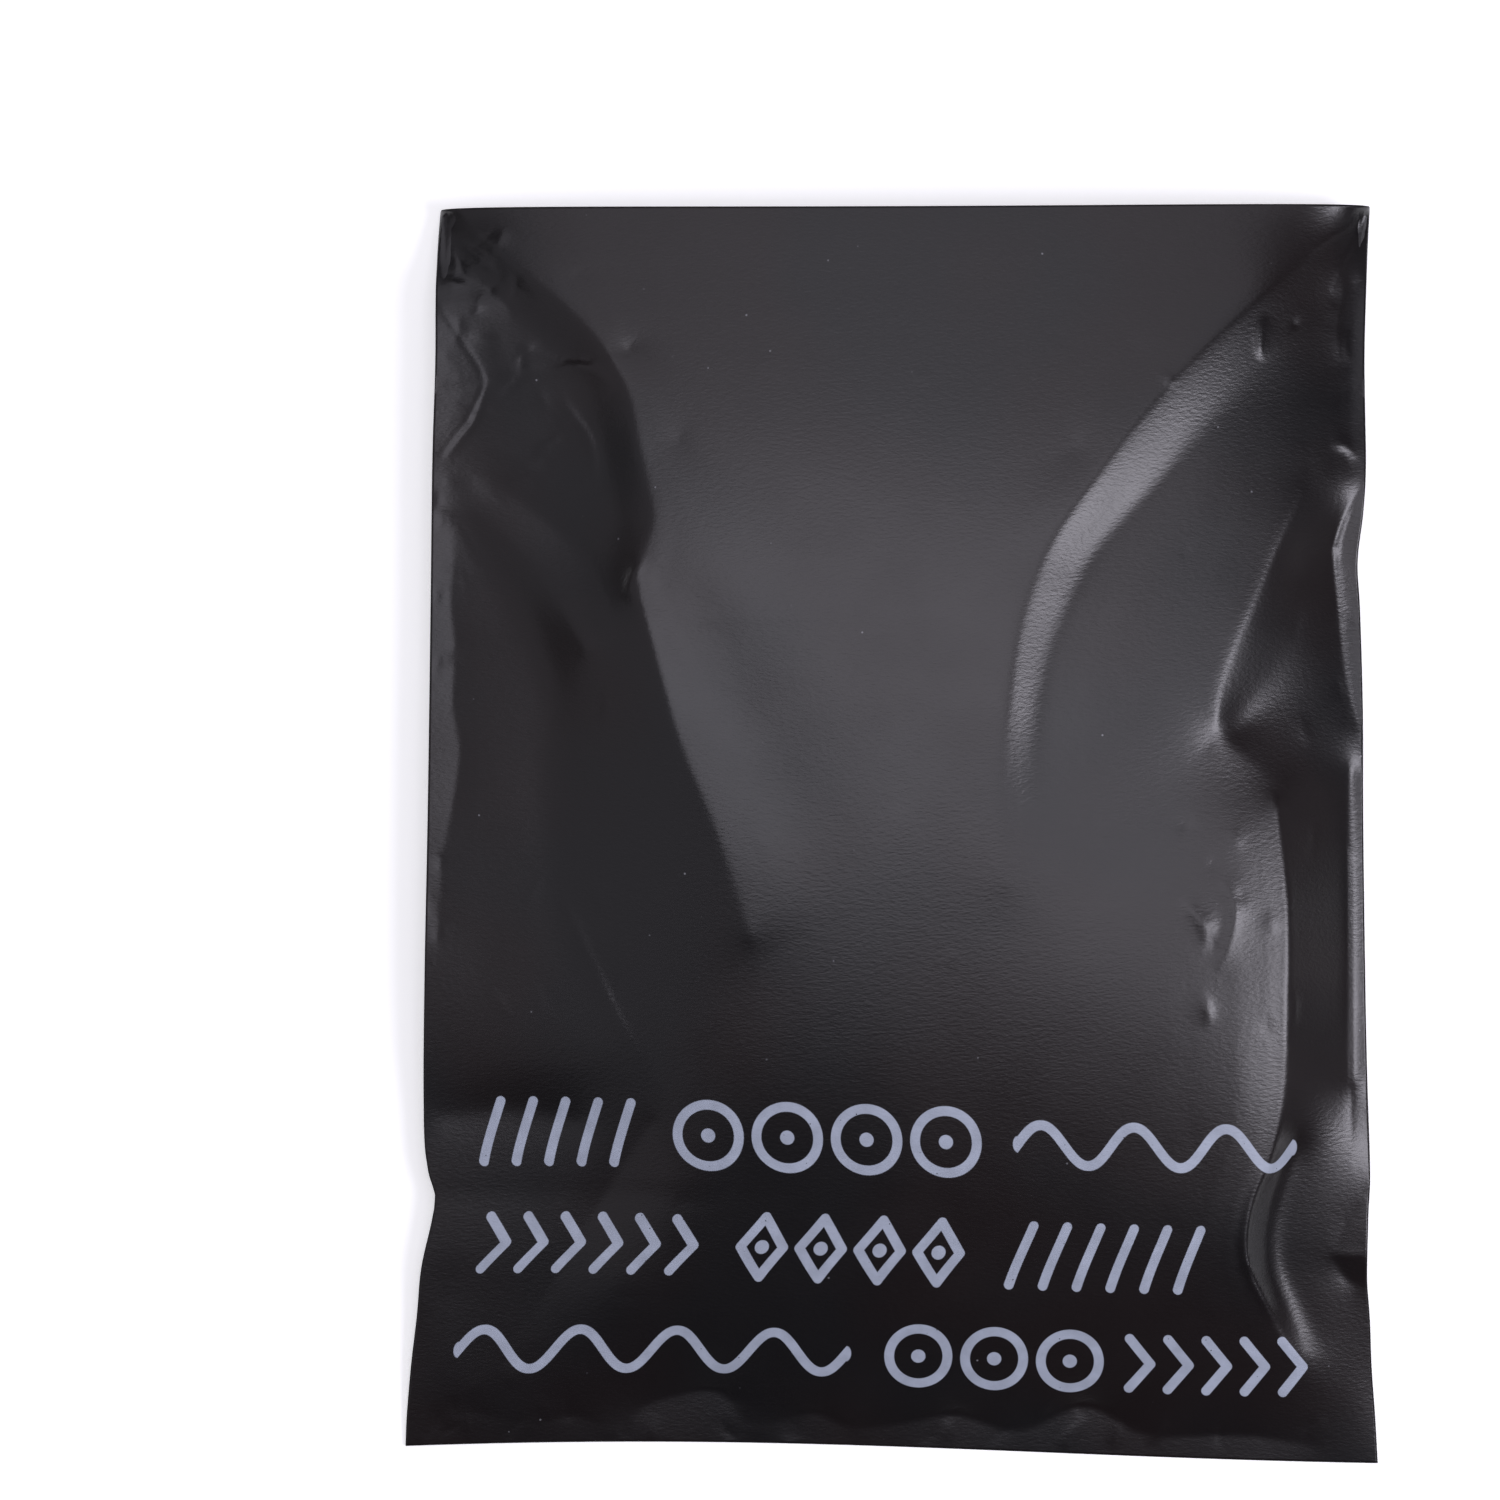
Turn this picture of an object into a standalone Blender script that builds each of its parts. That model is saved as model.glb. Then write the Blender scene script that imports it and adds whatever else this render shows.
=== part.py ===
"""A sealed poly mailer bag, packed with something soft and lying on its back.

The bag is one folded and welded sheet of film, closed by a flap that is stuck
down on its back, so it is one closed solid. +Y runs from the sealed bottom
edge to the flap's fold, and the origin is under the middle of its box.
"""

import math

import bmesh
import bpy
import numpy as np

# Driving dimensions, in metres.
FLAT_WIDTH = 0.305  # of the empty bag, and still so along its sealed bottom edge
HEIGHT = 0.3925  # between the folded top edge and the lowest bottom corner
PACK_HEIGHT = 0.036  # of the film over the thing inside
DOME = 0.0065  # how far the middle of the pack stands above that
FLAP_DEPTH = 0.052  # of the closing flap, from the top fold
FLAP_STEP = 0.0006  # the flap's film and its adhesive
SEAM = 0.0004  # the two welded films at the rim

# How high the rim floats above the table.
RIM_BOTTOM = 0.0012
RIM_TOP = 0.009
RIM_SIDES = 0.0095  # more, half-way up the sides
RIM_FOLD = 0.0125  # more, in the middle of the folded top edge

# The rim seen from above, as shares of FLAT_WIDTH out from the middle and of
# HEIGHT up from the lowest corner. The sides are drawn in where the pack is
# thick, and nipped where they buckle.
LEFT_RIM = (
    (-0.5005, 0.014),
    (-0.4985, 0.042),
    (-0.4825, 0.155),
    (-0.4680, 0.212),
    (-0.4790, 0.275),
    (-0.4740, 0.470),
    (-0.4690, 0.680),
    (-0.4650, 0.860),
    (-0.4630, 0.999),
)
RIGHT_RIM = (
    (0.5005, 0.000),
    (0.4970, 0.040),
    (0.4890, 0.120),
    (0.4835, 0.170),
    (0.4840, 0.250),
    (0.4785, 0.460),
    (0.4750, 0.620),
    (0.4700, 0.717),
    (0.4775, 0.850),
    (0.4868, 1.000),
)
TOP_DIP = 0.004  # sag of the top edge between its corners, as a share of HEIGHT
BOTTOM_BOW = 0.013  # how far the bottom edge bows down right of the middle

# How far the film takes to climb from each edge to the pack, as shares of the
# half width or half height.
CLIMB_LEFT, CLIMB_RIGHT = 0.36, 0.33
CLIMB_TOP, CLIMB_BOTTOM = 0.20, 0.55
SHOULDER = 3.2  # sharpness of the shoulder where the climb meets the pack
CROWN_U, CROWN_V = -0.10, 0.30  # where the pack is highest, from -1 to 1

# Long soft folds: ends as (u, v) from -1 to 1, half width and height in metres.
LONG_FOLDS = (
    ((0.93, 0.93), (0.50, 0.62), 0.011, 0.0030),
    ((0.50, 0.62), (0.24, 0.15), 0.014, 0.0026),
    ((-0.93, 0.92), (-0.56, 0.68), 0.013, 0.0018),
    ((0.76, -0.10), (0.74, -0.66), 0.012, 0.0024),
    ((-0.50, 0.30), (-0.22, -0.20), 0.016, -0.0014),
)

COLUMNS, ROWS = 32, 44
FILM_COLOUR = (0.021, 0.019, 0.022, 1.0)


def clear_scene():
    for thing in list(bpy.data.objects):
        bpy.data.objects.remove(thing)


def film_material():
    """Black polyethylene film, satin."""
    made = bpy.data.materials.new("black_polyethylene_film")
    made.use_nodes = True
    shader = made.node_tree.nodes["Principled BSDF"]
    shader.inputs["Base Color"].default_value = FILM_COLOUR
    shader.inputs["Roughness"].default_value = 0.42
    shader.inputs["Metallic"].default_value = 0.0
    return made


def through(points, t):
    """(x, y) at share t of the way up a rim, on a smooth curve through its points."""
    places = np.array(points)
    climb = places[:, 1]
    height = climb[0] + t * (climb[-1] - climb[0])
    k = int(np.clip(np.searchsorted(climb, height) - 1, 0, len(climb) - 2))
    before, after = max(k - 1, 0), min(k + 2, len(climb) - 1)
    span = climb[k + 1] - climb[k]
    share = (height - climb[k]) / span
    lean_a = (places[k + 1, 0] - places[before, 0]) / (climb[k + 1] - climb[before])
    lean_b = (places[after, 0] - places[k, 0]) / (climb[after] - climb[k])
    a, b = places[k, 0], places[k + 1, 0]
    square, cube = share**2, share**3
    x = (
        a * (2 * cube - 3 * square + 1)
        + b * (3 * square - 2 * cube)
        + lean_a * span * (cube - 2 * square + share)
        + lean_b * span * (cube - square)
    )
    return np.array((x * FLAT_WIDTH, (height - 0.5) * HEIGHT))


def top_edge(s):
    a, b = through(LEFT_RIM, 1), through(RIGHT_RIM, 1)
    sag = TOP_DIP * HEIGHT * math.sin(math.pi * s)
    return a + s * (b - a) - np.array((0, sag))


def bottom_edge(s):
    a, b = through(LEFT_RIM, 0), through(RIGHT_RIM, 0)
    lift = BOTTOM_BOW * HEIGHT * math.sin(math.pi * s) * (1 - s)
    return a + s * (b - a) + np.array((0, lift))


def in_plan(s, t):
    """Where the point at shares s across and t up the bag lies, seen from above."""
    left, right = through(LEFT_RIM, t), through(RIGHT_RIM, t)
    across = (1 - s) * left + s * right
    along = (1 - t) * bottom_edge(s) + t * top_edge(s)
    corners = (1 - t) * ((1 - s) * bottom_edge(0) + s * bottom_edge(1))
    corners = corners + t * ((1 - s) * top_edge(0) + s * top_edge(1))
    return across + along - corners


def rim_height(s, t):
    """How high the rim floats at shares s across and t up the bag."""
    sides = RIM_BOTTOM + (RIM_TOP - RIM_BOTTOM) * t + RIM_SIDES * math.sin(math.pi * t)
    return sides + RIM_FOLD * math.sin(math.pi * s) * t**12


def climb(s, t):
    """From 0 at the rim to 1 on the pack: the film's rise, with soft corners."""
    from_left, from_right = 2 * s / CLIMB_LEFT, 2 * (1 - s) / CLIMB_RIGHT
    from_bottom, from_top = 2 * t / CLIMB_BOTTOM, 2 * (1 - t) / CLIMB_TOP
    total = 1.0
    for rise in (from_left, from_right, from_bottom, from_top):
        total += max(rise, 1e-4) ** -SHOULDER
    return total ** (-1 / SHOULDER)


def long_fold(u, v, start, end, half_width, height):
    """Height that one long fold adds: a soft crest that fades at both ends."""
    half = np.array((FLAT_WIDTH / 2, HEIGHT / 2))
    a, b, p = np.array(start) * half, np.array(end) * half, np.array((u, v)) * half
    along = b - a
    share = float(np.clip((p - a) @ along / (along @ along), 0, 1))
    away = np.linalg.norm(p - a - share * along) / half_width
    return height * math.exp(-away * away)


def front_height(s, t):
    u, v = 2 * s - 1, 2 * t - 1
    rise = climb(s, t)
    dome = DOME * math.exp(-((u - CROWN_U) ** 2) * 2.2 - (v - CROWN_V) ** 2 * 1.4)
    folds = sum(long_fold(u, v, *fold) for fold in LONG_FOLDS)
    rim = rim_height(s, t)
    return rim + (PACK_HEIGHT - rim + dome + folds) * rise


def back_height(s, t):
    """The back lies flat on the table, and lifts to meet the rim near the edges."""
    inward = min(2 * s, 2 * (1 - s), 2 * t * 1.2, 2 * (1 - t) * 1.2)
    lift = max(0.0, 1 - inward / 0.30) ** 2
    return (rim_height(s, t) - SEAM) * lift


def flap_clearance(t):
    """How far the back stands clear of the table beside the flap's edge."""
    past = (1 - FLAP_DEPTH / HEIGHT - t) * HEIGHT
    if past < 0:
        return 0.0
    return FLAP_STEP * max(0.0, 1 - past / 0.022)


def row_shares():
    """The rows' places up the bag, with a close pair at the flap's edge."""
    edge = 1 - FLAP_DEPTH / HEIGHT
    shares = [row / ROWS for row in range(ROWS + 1)]
    nearest = min(range(len(shares)), key=lambda k: abs(shares[k] - edge))
    shares[nearest] = edge + 1e-4
    shares.insert(nearest, edge - 0.0012)
    return shares


def add_sheet(mesh, rows, height_at):
    """One film as a grid of quads, and its vertices row by row."""
    grid = []
    for t in rows:
        line = []
        for column in range(COLUMNS + 1):
            s = column / COLUMNS
            x, y = in_plan(s, t)
            line.append(mesh.verts.new((x, y, height_at(s, t))))
        grid.append(line)
    for lower, upper in zip(grid, grid[1:]):
        for k in range(COLUMNS):
            mesh.faces.new((lower[k], lower[k + 1], upper[k + 1], upper[k]))
    return grid


def rim_of(grid):
    """A sheet's outer vertices in order, anticlockwise from above."""
    bottom, top = grid[0], grid[-1]
    right = [line[-1] for line in grid[1:-1]]
    left = [line[0] for line in grid[1:-1]]
    return bottom + right + top[::-1] + left[::-1]


def mailer_bag():
    mesh = bmesh.new()
    rows = row_shares()
    front = add_sheet(mesh, rows, front_height)
    front_count = len(mesh.faces)
    back = add_sheet(mesh, rows, lambda s, t: back_height(s, t) + flap_clearance(t))
    back_faces = list(mesh.faces)[front_count:]
    bmesh.ops.reverse_faces(mesh, faces=back_faces)
    upper, lower = rim_of(front), rim_of(back)
    for k in range(len(upper)):
        after = (k + 1) % len(upper)
        mesh.faces.new((upper[after], upper[k], lower[k], lower[after]))
    resting = [face for face in back_faces if all(v.co.z < 1e-9 for v in face.verts)]
    bmesh.ops.dissolve_faces(mesh, faces=resting)
    data = bpy.data.meshes.new("mailer_bag")
    mesh.to_mesh(data)
    mesh.free()
    data.shade_smooth()
    data.materials.append(film_material())
    made = bpy.data.objects.new("mailer_bag", data)
    bpy.context.scene.collection.objects.link(made)
    return made


clear_scene()
mailer_bag()
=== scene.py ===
import math

import bpy
import numpy as np
from bpy.props import FloatProperty, FloatVectorProperty, IntProperty, PointerProperty
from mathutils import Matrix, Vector


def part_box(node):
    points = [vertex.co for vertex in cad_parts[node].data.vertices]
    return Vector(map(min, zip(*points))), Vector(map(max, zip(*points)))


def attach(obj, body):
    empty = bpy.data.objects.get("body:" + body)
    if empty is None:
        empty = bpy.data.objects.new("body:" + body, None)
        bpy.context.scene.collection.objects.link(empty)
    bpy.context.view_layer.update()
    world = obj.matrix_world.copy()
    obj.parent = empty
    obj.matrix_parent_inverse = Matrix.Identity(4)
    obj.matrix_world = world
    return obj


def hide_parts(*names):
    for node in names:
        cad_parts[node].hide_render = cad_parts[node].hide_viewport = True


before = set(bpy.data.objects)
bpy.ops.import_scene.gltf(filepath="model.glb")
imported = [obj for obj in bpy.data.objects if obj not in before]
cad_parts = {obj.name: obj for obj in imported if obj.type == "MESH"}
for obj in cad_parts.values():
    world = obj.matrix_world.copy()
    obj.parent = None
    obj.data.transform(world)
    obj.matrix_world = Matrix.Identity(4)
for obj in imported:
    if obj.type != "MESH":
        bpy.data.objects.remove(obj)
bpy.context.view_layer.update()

bl_info = {
    "name": "Poly mailer bag",
    "version": (1, 0, 0),
    "blender": (4, 5, 0),
    "location": "View3D > Sidebar > Mailer",
    "description": "A packed and sealed mailer bag of black film, and its studio",
    "category": "Add Mesh",
}

# The frame: the bag's box, and the scale of the millimetres below to it.
LOW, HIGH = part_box("mailer_bag")
WIDTH, HEIGHT, THICK = HIGH - LOW
MIDDLE = (LOW + HIGH) / 2
NOMINAL_WIDTH, NOMINAL_HEIGHT = 305.3, 392.5  # millimetres
MM_X, MM_Y, MM_Z = WIDTH / NOMINAL_WIDTH, HEIGHT / NOMINAL_HEIGHT, 0.001

# Places on the bag below are (x, y) or (x, y, z) in millimetres: x and y from the
# middle of its box, z from the table. Names are for the bag seen from above, with
# its top fold away from the viewer.

# The side welds, from the bottom corners up.
LEFT_RIM = (
    (-152.5, -190.8),
    (-152.0, -181),
    (-150.5, -165),
    (-148.5, -149),
    (-147.0, -134),
    (-143.6, -119),
    (-142.6, -111),
    (-144.8, -103),
    (-146.0, -87),
    (-145.3, -40),
    (-144.3, 7),
    (-143.4, 70),
    (-142.8, 117),
    (-141.8, 149),
    (-141.8, 180),
    (-141.2, 196),
)
RIGHT_RIM = (
    (152.6, -196.2),
    (151.5, -181),
    (150.0, -165),
    (149.0, -150),
    (147.4, -134),
    (147.4, -118),
    (147.8, -103),
    (146.8, -71),
    (146.2, -40),
    (145.6, 7),
    (145.5, 39),
    (144.6, 70),
    (143.6, 86),
    (145.0, 101),
    (145.8, 117),
    (145.8, 149),
    (147.2, 180),
    (148.4, 196.2),
)
TOP_DIP = 1.6  # sag of the top fold between its corners
BOTTOM_BOW = 5.1  # rise of the bottom weld left of the middle

# How high the welds float, from the bottom corner (0) to the top corner (1).
LEFT_FLOAT = (
    (0, 1.2),
    (0.049, 3.4),
    (0.11, 6.2),
    (0.16, 8),
    (0.214, 9),
    (0.271, 9.8),
    (0.323, 12.6),
    (0.39, 14.4),
    (0.49, 15.2),
    (0.65, 15.2),
    (0.79, 15.6),
    (0.83, 16),
    (0.92, 16),
    (0.96, 10),
    (1, 5),
)
RIGHT_FLOAT = (
    (0, 1.2),
    (0.054, 3.4),
    (0.1, 6.4),
    (0.142, 9.6),
    (0.17, 13),
    (0.215, 14.2),
    (0.26, 15),
    (0.5, 15.2),
    (0.64, 15.4),
    (0.7, 16),
    (0.77, 19.2),
    (0.83, 18),
    (0.88, 16.4),
    (0.94, 14.2),
    (1, 11),
)
TOP_BULGE = 18  # how much higher the top fold floats between its corners
BULGE_ROUNDNESS = 0.35  # from 0, square at the corners, to 1, a plain arch
BULGE_FADE = 12  # how quickly the bulge dies away down the bag

# The back, in millimetres.
WELD = 0.4  # the two welded films
FLAP_DEPTH = 52  # of the closing flap, from the top fold
FLAP_STEP = 0.6  # the flap's film and its adhesive
FLAP_RAMP = 22  # over which the back settles beyond the flap's edge
BACK_LIFT = 0.30  # share of the half width over which the back lifts to the rim

# Lines that the film is stretched over: (how round in mm, points with heights).
FILM_LINES = (
    # Across the pack, below the top fold.
    (8, ((-98, 174, 24), (-50, 172, 28), (0, 171, 30), (55, 172, 29.8), (98, 174, 27.6))),
    (14, ((-82, 150, 30.2), (-30, 146, 33.6), (20, 146, 34.2), (72, 150, 33))),
    (14, ((-66, 122, 35.2), (-20, 118, 37.8), (30, 118, 38.2), (54, 120, 37.6))),
    # The pack's left shoulder, from the top corner down.
    (
        1.5,
        (
            (-139, 194, 7.5),
            (-129.7, 188.6, 14.5),
            (-117, 177, 20.5),
            (-104.5, 167, 24.6),
            (-93.5, 156, 28),
            (-85.5, 145, 30.6),
            (-81, 134, 32.6),
            (-79, 122, 34.4),
            (-76, 108, 36),
            (-74, 97, 37.2),
            (-78.5, 84, 37.6),
            (-78, 74, 38.2),
            (-74, 60, 38.8),
            (-66, 31, 39),
            (-54, 2, 38.5),
            (-44, -30, 37),
        ),
    ),
    # Below the shoulder, where the steep band beside it ends.
    (
        3,
        (
            (-134, 182, 10.5),
            (-121, 168, 16.6),
            (-108, 154, 20.6),
            (-98, 144, 22.6),
            (-93.5, 128, 25),
            (-89, 112, 27.4),
            (-86, 98, 30),
            (-86, 84, 31.6),
        ),
    ),
    # The ridge from the tuck to the shoulder, and the hollow corner above it.
    (1, ((-140.5, 166, 16.2), (-127, 165.4, 17.2), (-119, 164.6, 18))),
    (2, ((-139.5, 181, 9.8), (-133, 180, 11))),
    # The tuck at the left weld: its crest, its flat, and the film beside it.
    (
        0.7,
        (
            (-140.8, 165, 16.2),
            (-134, 155, 16.8),
            (-127, 142, 17.2),
            (-131.6, 130, 16.6),
            (-141, 118, 15.8),
        ),
    ),
    (1, ((-139, 150, 16.3), (-134, 140, 16.5), (-138, 128, 16.1))),
    (4, ((-118, 156, 18.8), (-112, 146, 20.2), (-108, 132, 21.4), (-106, 120, 21.6))),
    # The broad ray from the tuck's foot: its upper and its lower side.
    (
        1.5,
        (
            (-139.5, 117, 15.8),
            (-122, 109, 17.6),
            (-106, 97.5, 21.6),
            (-95, 86, 26.4),
            (-87, 71, 32.6),
        ),
    ),
    (
        1.5,
        (
            (-138, 111, 15.4),
            (-127, 100, 17.6),
            (-115, 88, 21.4),
            (-104, 75, 26),
            (-94, 58, 31.6),
        ),
    ),
    # The foot of the left slope.
    (
        4,
        (
            (-133.5, 97, 15.2),
            (-124, 82, 17),
            (-114, 66, 19),
            (-107, 48, 20.6),
            (-106, 30, 21),
            (-106, 0, 21),
            (-104, -24, 21.6),
            (-97, -45, 22.5),
            (-88, -66, 23.4),
        ),
    ),
    # The flat beside the left weld, and the small rise next to it.
    (
        0.7,
        (
            (-137.5, 100, 15.4),
            (-136, 86, 15.3),
            (-137.2, 74, 15.2),
            (-135.4, 58, 15.3),
            (-136.4, 42, 15.4),
            (-134, 28, 15.6),
            (-136, 12, 15.5),
            (-139.5, -6, 15.4),
            (-141, -30, 14.6),
        ),
    ),
    (5, ((-128, 76, 16.9), (-127, 50, 17.2), (-126, 0, 17.8), (-126, -50, 16.6))),
    # The long ridge from the top right corner: its crest and its foot.
    (
        2,
        (
            (147.5, 195, 11.3),
            (139, 188.3, 16.6),
            (132, 183.6, 20),
            (124, 176.5, 23.6),
            (109.5, 164, 29.2),
            (92, 148.5, 33.8),
            (75, 130, 37),
            (59, 109, 39.4),
            (46.5, 90, 40.6),
            (38, 67, 41.1),
            (34.5, 46, 41.1),
            (32, 29, 40.9),
            (31, 8, 40.3),
            (33, -14, 39.4),
        ),
    ),
    (1, ((147.6, 193.5, 11.2), (143, 185, 14.2), (138.2, 177, 17.4), (135.3, 169, 18.4))),
    (
        3.5,
        (
            (134.5, 167, 18.2),
            (122, 153, 24.2),
            (108, 139, 28.4),
            (94, 125, 31.2),
            (78, 106, 33),
            (62.5, 90, 35),
            (53, 73, 36.6),
            (46.5, 56, 37.6),
            (43.5, 36, 38.3),
            (43, 12, 38.8),
            (43, -10, 38.6),
        ),
    ),
    # The shelf right of the long ridge, and the flat beside the right weld.
    (6, ((136, 164, 17.6), (131, 150, 20.4), (128, 130, 23.6), (127, 114, 26))),
    (2, ((143, 172, 14.6), (141.6, 150, 16.6), (141, 130, 18.4), (140.4, 114, 19.6))),
    (1.5, ((141.5, 22, 15.2), (141.4, -20, 15.4), (142, -75, 15.2))),
    # The pack's right shoulder above the dent, and the dent's lower lip.
    (2, ((125, 108, 27), (118, 93, 30.2), (107, 68, 33.2), (99.8, 50, 34.2), (97.5, 36, 34.4))),
    (2, ((100, 31, 32.8), (108, 24, 31.4), (120, 15, 28.8))),
    # The wall of the dent, and the pucker at the right weld.
    (3, ((103.5, 34, 29.6), (113, 44, 27.2), (122, 62, 24.4), (129, 88, 21.4))),
    (
        1,
        (
            (145, 109, 19.2),
            (140, 100, 18),
            (136.8, 90, 16.8),
            (138.5, 70, 15.6),
            (141, 50, 15.2),
            (144.3, 35, 15.1),
        ),
    ),
    # The fold down the right: its crest and where it breaks to the side.
    (6, ((101, 6, 34.8), (103.5, -20, 34.4), (104, -50, 33.4), (104.5, -75, 31.6), (103, -96, 29))),
    (
        0.7,
        (
            (116, 12, 31.8),
            (119.5, -20, 32.3),
            (119.5, -50, 31.4),
            (119, -75, 29),
            (115.5, -97, 26.8),
            (110, -110, 25.6),
            (107.8, -122, 23.6),
            (109, -133, 20.6),
            (114.6, -143, 17.2),
            (119.5, -152, 13.4),
            (125, -161, 10),
        ),
    ),
    # The loose film beside the end of that fold.
    (
        3,
        (
            (124, -94, 19.4),
            (119.5, -106, 17.8),
            (117, -120, 15.4),
            (118.5, -134, 12.6),
            (125, -147, 9.8),
            (131, -158, 7.8),
        ),
    ),
    # The tuck at the right weld.
    (0.7, ((137, -129.4, 12.4), (146.6, -129.4, 13.2))),
    (0.7, ((137, -129.4, 12.4), (141, -118.4, 13.6), (146.6, -112, 14.3))),
    (0.7, ((137, -129.8, 12), (141, -136.4, 10), (147.4, -141, 9.6))),
    # Where the long slope to the bottom begins, and where it steepens.
    (16, ((-36, -36, 36.6), (0, -38, 37.6), (45, -38, 37.4), (84, -42, 36))),
    (14, ((-56, -64, 32), (-20, -62, 34.8), (0, -62, 35.2), (45, -62, 35.2), (88, -64, 34.2))),
    (14, ((-62, -86, 28), (-26, -86, 31), (0, -86, 31.6), (50, -88, 32.2), (90, -90, 31))),
    (10, ((-66, -112, 22.6), (0, -115, 25.4), (50, -116, 26.8), (88, -120, 25.6))),
    (8, ((-84, -142, 14.4), (0, -146, 17.8), (50, -146, 19), (96, -148, 17.4))),
    (
        5,
        (
            (-112, -160, 7.2),
            (-84, -160, 8.6),
            (-60, -160, 9),
            (-30, -163, 10),
            (20, -165, 10.2),
            (60, -163, 10.8),
            (96, -168, 9.6),
            (122, -174, 6),
        ),
    ),
    # The slope's foot at the bottom weld.
    (
        0.7,
        (
            (-130, -180, 2.6),
            (-114, -184.5, 2.2),
            (-100, -181, 2.2),
            (-87, -186, 1.9),
            (-76, -177, 2.3),
            (-57, -172.5, 2.6),
            (-49, -177, 2.2),
            (-43, -186, 1.9),
            (-29, -180.5, 2.2),
            (-21, -180.5, 2.2),
            (-13, -185, 1.9),
            (5, -183, 2.1),
            (21, -180.5, 2.1),
            (40, -186, 1.8),
            (61, -177.5, 2.3),
            (80, -187, 1.8),
            (110, -187, 1.8),
            (133, -191, 1.7),
        ),
    ),
    # The flat corner at the bottom left, and the arch above it.
    (
        1.5,
        (
            (-74, -86, 22.4),
            (-88, -108, 14.8),
            (-98, -124, 12),
            (-112, -148, 8.4),
            (-131, -172, 4.6),
        ),
    ),
    (6, ((-140, -66, 13), (-118, -66, 16.8), (-96, -66, 21.6))),
    (2.5, ((-139, -86, 9.8), (-118, -84, 12), (-98, -88, 14.6))),
    (6, ((-137, -108, 9.4), (-112, -108, 11.6))),
    (5, ((-140, -140, 7), (-122, -140, 8.6))),
    # The shallow step across the pack, below its left shoulder.
    (6, ((-70, 78, 37.6), (-58, 56, 37.7), (-42, 28, 38), (-30, 2, 38.3))),
    (6, ((-56, 88, 39), (-42, 66, 39.4), (-26, 36, 39.6), (-14, 6, 39.8))),
    # The crown, and the hollow below the long ridge.
    (12, ((-6, 90, 40.3), (2, 50, 40.9), (2, 10, 41))),
    (9, ((96, 30, 34), (70, -2, 36), (52, -26, 37.4))),
    (9, ((60, 40, 37.6), (76, 70, 35.5), (100, 105, 31.6))),
)


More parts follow.
